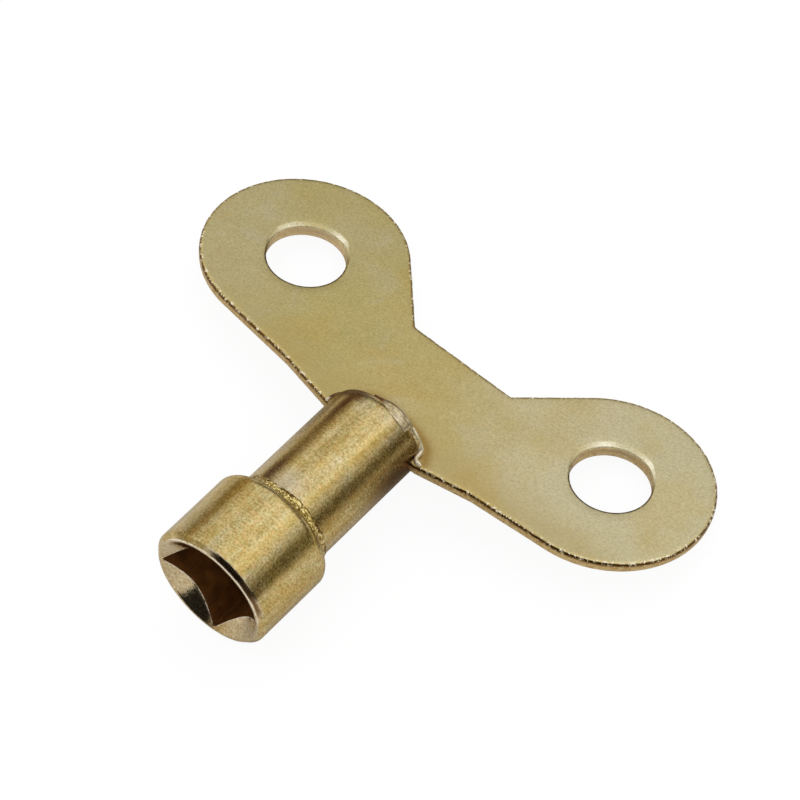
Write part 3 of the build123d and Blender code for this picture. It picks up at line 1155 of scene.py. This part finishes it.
# Curl over the rim and down the tube at +X: x, y, z, bead radius
CURL = [(4.70 * cos(a), 24.00 + 0.02 * k, 4.70 * sin(a), 0.17 + 0.012 * k)
        for k, a in enumerate(radians(d) for d in (38, 31, 24, 17))] + [
    (4.84, 23.94, 0.84, 0.22), (4.98, 23.62, 0.66, 0.23), (5.03, 23.22, 0.68, 0.22),
    (5.08, 22.92, 0.72, 0.22), (5.26, 22.66, 0.76, 0.23), (5.54, 22.52, 0.79, 0.23),
    (5.84, 22.50, 0.78, 0.18)]
# Blob on the sheet at -X: x, y, bead radius
BLOB = ((-5.42, 22.62, 0.17), (-5.34, 22.95, 0.21), (-5.25, 23.35, 0.21), (-5.10, 23.80, 0.21),
        (-4.90, 24.15, 0.17))
# End beads below, mirrored in x: x, y
LOWER_ENDS = ((4.7, 23.7), (5.0, 23.3), (5.15, 22.9), (5.3, 22.6))


def add_rim(beads, side):
    """Beads along the tube's rim; above, stout at +X and drawn in at -X."""
    for row, (right_r, left_r, right_y, left_y, size) in enumerate(RIM_BEADS):
        points = []
        for d in np.arange(4, 177, 4):
            left = ease(48, 88, d) if side > 0 else 0.25
            angle = radians(d) * side
            radius = right_r + (left_r - right_r) * left
            x, z = radius * cos(angle), radius * sin(angle)
            y = right_y + (left_y - right_y) * left
            points.append((x, y + 0.04 * perlin(x, row, z, scale=0.5, seed=14.0), z,
                           size + 0.03 * perlin(x, 23.0, z, scale=0.6, seed=3.0 + side)
                           + 0.015 * perlin(x, 23.0, z, scale=1.9, seed=9.0)))
        beads.string(points, step=0.12)


def add_collar(beads):
    """Broad collar drawn over the tube's end."""
    for radius, y, size in COLLAR_BEADS:
        points = []
        for d in np.arange(30, 99, 4):
            fade = 1 - ease(30, 46, d) * ease(96, 62, d)
            x, z = cos(radians(d)), sin(radians(d))
            near = radius - 0.55 * fade
            along = (y + fade * 0.55 * (23.55 - y)
                     + 0.05 * perlin(x * 4.6, y, z * 4.6, scale=0.8, seed=21.0))
            points.append((near * x, along, near * z,
                           size + 0.02 * perlin(x * 4.6, y, z * 4.6, scale=1.6, seed=25.0)))
        beads.string(points, step=0.10)


def add_foot(beads, side):
    for factor, shift, lift, size in FOOT_BEADS:
        points = []
        for x, y in FOOT:
            x, y = x * factor, y + shift
            points.append((x, y, plate_z(x, y, side) + side * lift,
                           size + 0.03 * perlin(x, y, 0, scale=0.9, seed=5.0 + side)))
        beads.string(points, step=0.10)


def build_saddle(name, side):
    """Brazing above (side 1) or below (side -1) the sheet."""
    beads = Beads()
    add_rim(beads, side)
    if side > 0:
        add_collar(beads)
    add_foot(beads, side)
    if side > 0:
        beads.string(CURL, step=0.04)
        beads.string([(x, y, plate_z(x, y, 1) + 0.05, size) for x, y, size in BLOB], step=0.05)
    else:
        for s in (1, -1):
            beads.string([(s * x, y, plate_z(s * x, y, -1) - 0.06, 0.22)
                          for x, y in LOWER_ENDS], step=0.06)
    ob = make_obj(name, beads.verts, beads.faces, mats=[MAT_SADDLE])
    skin = ob.modifiers.new("skin", "REMESH")
    skin.mode = "VOXEL"
    skin.voxel_size = 0.055 * MM
    skin.use_smooth_shade = True
    soft = ob.modifiers.new("soft", "SMOOTH")
    soft.factor = 0.5
    soft.iterations = 4
    bpy.context.view_layer.update()
    apply_mods(ob)
    mesh = ob.data
    if not mesh.materials:          # the remesh may drop the material slot
        mesh.materials.append(MAT_SADDLE)
    shade_smooth(mesh)
    # grain
    normals = [v.normal.copy() for v in mesh.vertices]
    for v, normal in zip(mesh.vertices, normals):
        c = v.co / MM
        grain = 0.010 * fractal(c.x, c.y, c.z, scale=1.7, octaves=3, seed=51.0)
        v.co = v.co + normal * (MM * grain)
    return ob


def saddle_worn(x, y, z):
    """Painted highlight on the curl, the blob and the collar."""
    points = np.c_[x, y, z]
    blob = [(bx, by, plate_z(bx, by, 1) + 0.15) for bx, by, _ in BLOB]
    near = np.minimum(distance_to(points, np.array(CURL)[:, :3]), distance_to(points, blob))
    radius, deg = polar(x, z)
    rim = 0.16 * ease(74, 60, deg) * ease(20, 34, deg) * (radius > 4.3)
    strength = np.where(x < 0, 0.75 * ease(23.05, 22.8, y), 0.72)
    return np.maximum(ease(0.32, 0.20, near) * strength, rim)


def saddle_tint(x, y, z):
    """Darker seams before and behind the collar, and a painted dark reflection on the -X part."""
    deg = polar(x, z)[1]
    seam = (0.75 * ease(23.02, 22.86, y) * ease(34, 42, deg)
            + 0.6 * np.exp(-((y - 23.95) / 0.12) ** 2) * ease(50, 60, deg))
    left = 0.97 * ease(74, 92, deg) * np.maximum(x > -5.0, ease(22.8, 23.1, y))
    return np.minimum(1.0, np.maximum(seam, left) + 0.18 * ease(34, 46, deg))


saddle_up = build_saddle("plate_braze_saddle_upper", 1)
# the bright curl, blob and collar are a painted highlight; the -X tint is a painted dark
# reflection
paint(saddle_up, worn=saddle_worn, tint=saddle_tint)
saddle_low = build_saddle("plate_braze_saddle_lower", -1)
paint(saddle_low, worn=blank, tint=blank)

# ---------------------------------------------------------------- ride the frame
for ob, node, slot in ((plate, "handle_plate", "plate_brass"),
                       (head, "socket_head", "head_brass"),
                       (shank, "shank_tube", "barrel_brass"),
                       (ring, "head_braze_ring", "braze"),
                       (saddle_up, "plate_braze_upper", "braze"),
                       (saddle_low, "plate_braze_lower", "braze")):
    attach(ob, "root")
    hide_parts(node)

# ---------------------------------------------------------------- floor
FLOOR_SIZE, FLOOR_CELLS, FLOOR_GAP = 2400, 24, 0.004


def rest_plane():
    """Plane z = a x + b y + c that touches the key from below at the head and both lobes."""
    points = np.array([list((ob.matrix_world @ v.co) / MM)
                       for ob in (plate, head, shank) for v in ob.data.vertices])
    x, y = points[:, 0], points[:, 1]
    parts = (points[y < HEAD_L], points[(y > 30) & (x < 0)], points[(y > 30) & (x > 0)])
    a, b = 0.0, 0.07
    for _ in range(12):
        touch = [p[np.argmin(p[:, 2] - a * p[:, 0] - b * p[:, 1])] for p in parts]
        a, b, c = np.linalg.solve(np.array([[t[0], t[1], 1.0] for t in touch]),
                                  np.array([t[2] for t in touch]))
    return a, b, c


def floor_material():
    mat, net = material("floor_paper")
    tone = net.noise(net.mm(), scale=0.02, detail=2, rough=0.5)
    col = net.ramp(tone, [(0.3, (0.955, 0.955, 0.955)), (0.7, (0.975, 0.975, 0.975))])
    diffuse = net.node("BsdfDiffuse", {0: col})
    glow = net.node("Emission", {0: (1.0, 1.0, 1.0), 1: 1.0})
    paper = net.blend(0.93, diffuse, glow)
    # reflections see the paper shaded, darker away from the key (distance in metres)
    distance = net.node("VectorMath", {0: net.node("TexCoord").outputs["Object"]},
                        operation="LENGTH").outputs["Value"]
    light = net.remap(distance, span=(0.015, 0.35), to=(0.55, 0.28))
    cream = (1.0, 0.985, 0.95)
    shade = net.tinted(net.ramp(light, [(0.0, (0.0, 0.0, 0.0)), (1.0, cream)]), cream)
    near = net.node("BsdfDiffuse", {0: shade})
    net.node("OutputMaterial", {"Surface": net.for_reflections(paper, near)})
    return mat


def build_floor():
    slope_x, slope_y, height = rest_plane()
    n = FLOOR_CELLS
    verts, faces = [], []
    for i in range(n + 1):
        for j in range(n + 1):
            x, y = (i / n - 0.5) * FLOOR_SIZE, (j / n - 0.5) * FLOOR_SIZE
            z = slope_x * x + slope_y * y + height - FLOOR_GAP
            verts.append((x * MM, y * MM, z * MM))
    for i in range(n):
        for j in range(n):
            a = i * (n + 1) + j
            faces.append((a, a + n + 1, a + n + 2, a + 1))
    mesh = bpy.data.meshes.new("studio_floor")
    mesh.from_pydata(verts, [], faces)
    ob = bpy.data.objects.new("studio_floor", mesh)
    scene.collection.objects.link(ob)
    mesh.materials.append(floor_material())


build_floor()


# ---------------------------------------------------------------- studio
def direction(azimuth, elevation):
    """Unit vector; azimuth in degrees from +Y towards +X."""
    az, el = radians(azimuth), radians(elevation)
    return (sin(az) * cos(el), cos(az) * cos(el), sin(el))


def warm(level, warmth):
    return tuple(level * ((1 - warmth) + warmth * c) for c in (1.0, 0.90, 0.66))


# Reflected room: elevation in degrees, colour
ROOM = ((-30, warm(0.40, 0.4)), (-8, warm(0.30, 0.7)), (3, warm(0.135, 1.0)),
        (14, warm(0.095, 1.0)), (22, warm(0.24, 0.8)), (31, warm(0.46, 0.4)),
        (40, (0.70, 0.70, 0.69)), (50, (0.74, 0.75, 0.76)), (60, (0.66, 0.67, 0.69)),
        (90, (0.72, 0.73, 0.76)))
# Patches of light: azimuth, elevation, inner and outer radius in degrees, added colour
GLOWS = ((46, 52, 3, 15, (0.50, 0.53, 0.60)), (-2, 67, 4, 18, (0.36, 0.38, 0.44)),
         (-58, 41, 2, 13, (0.14, 0.14, 0.14)), (-63, 22, 4, 16, (0.10, 0.085, 0.055)),
         (-66, 2, 10, 30, (0.17, 0.13, 0.07)), (-24, 38, 3, 16, (0.02, 0.02, 0.03)),
         (-102, 20, 14, 28, (0.26, 0.23, 0.16)), (-138, 4, 12, 22, (0.36, 0.31, 0.22)),
         (41, -42, 6, 20, (0.06, 0.06, 0.05)))
# Dark side of the room behind the camera: azimuth, elevation, inner and outer radius
DARKS = ((172, -4, 18, 20.5), (163, -14, 9, 11), (-173, 3, 13, 15), (166, 12, 13, 16),
         (152, 30, 13, 17), (133, 32, 10, 14), (121, 14, 9, 13), (113, -1, 5, 10),
         (172, 48, 13, 18), (-172, 30, 12, 16), (147, 52, 9, 14), (113, 48, 9, 12),
         (132, 66, 9, 12), (-170, 70, 8, 12))


def build_world():
    world = bpy.data.worlds.new("studio")
    scene.world = world
    world.use_nodes = True
    net = Graph(world.node_tree)
    view = net.node("TexCoord").outputs["Generated"]

    def spot(azimuth, elevation, inner, outer):
        dot = net.node("VectorMath", {0: view, 1: direction(azimuth, elevation)},
                       operation="DOT_PRODUCT").outputs["Value"]
        return net.remap(dot, span=(cos(radians(outer)), cos(radians(inner))))

    height = net.remap(net.node("SeparateXYZ", {0: view}).outputs["Z"], span=(-1.0, 1.0),
                       smooth=False)
    col = net.ramp(height, [((sin(radians(el)) + 1) / 2, rgb) for el, rgb in ROOM], "EASE")
    for *place, rgb in GLOWS:
        col = net.mix(spot(*place), col, rgb, "ADD")
    dark = spot(*DARKS[0])
    for place in DARKS[1:]:
        dark = net.most(dark, spot(*place))
    col = net.mix(dark, col, (0.010, 0.010, 0.009))
    room = net.node("Background", {0: col, 1: 1.0})
    fill = net.node("Background", {0: (1.0, 1.0, 1.0), 1: 1.02})
    net.node("OutputWorld", {"Surface": net.for_reflections(fill, room)})


def softbox(name, azimuth, elevation, size, power, distance=0.9):
    """Square light aimed at the key, unseen in reflections; size and distance in metres."""
    light = bpy.data.lights.new(name, "AREA")
    light.shape = "RECTANGLE"
    light.size = light.size_y = size
    light.energy = power
    ob = bpy.data.objects.new(name, light)
    scene.collection.objects.link(ob)
    away = Vector(direction(azimuth, elevation))
    ob.location = Vector((0.0, 0.022, 0.0)) + away * distance
    ob.rotation_euler = away.to_track_quat("Z", "Y").to_euler()
    ob.visible_glossy = False


def build_camera():
    data = bpy.data.cameras.new("camera")
    data.sensor_width = 36.0
    data.lens = 179.694
    data.clip_start = 0.01
    data.clip_end = 20.0
    cam = bpy.data.objects.new("camera", data)
    scene.collection.objects.link(cam)
    right = Vector((0.76492995, 0.64368537, 0.02348025))
    up = Vector((-0.53492668, 0.6145346, 0.57982814))
    forward = Vector((-0.35879746, 0.45608812, -0.8144004))
    turn = Matrix((right, up, -forward)).transposed().to_4x4()
    place = Vector((131.84731952, -140.97600297, 300.4941241)) * MM
    cam.matrix_world = Matrix.Translation(place) @ turn
    scene.camera = cam


build_world()
softbox("key_softbox", azimuth=-35, elevation=62, size=0.7, power=1.6)
softbox("fill_softbox", azimuth=120, elevation=55, size=0.6, power=0.7)
build_camera()
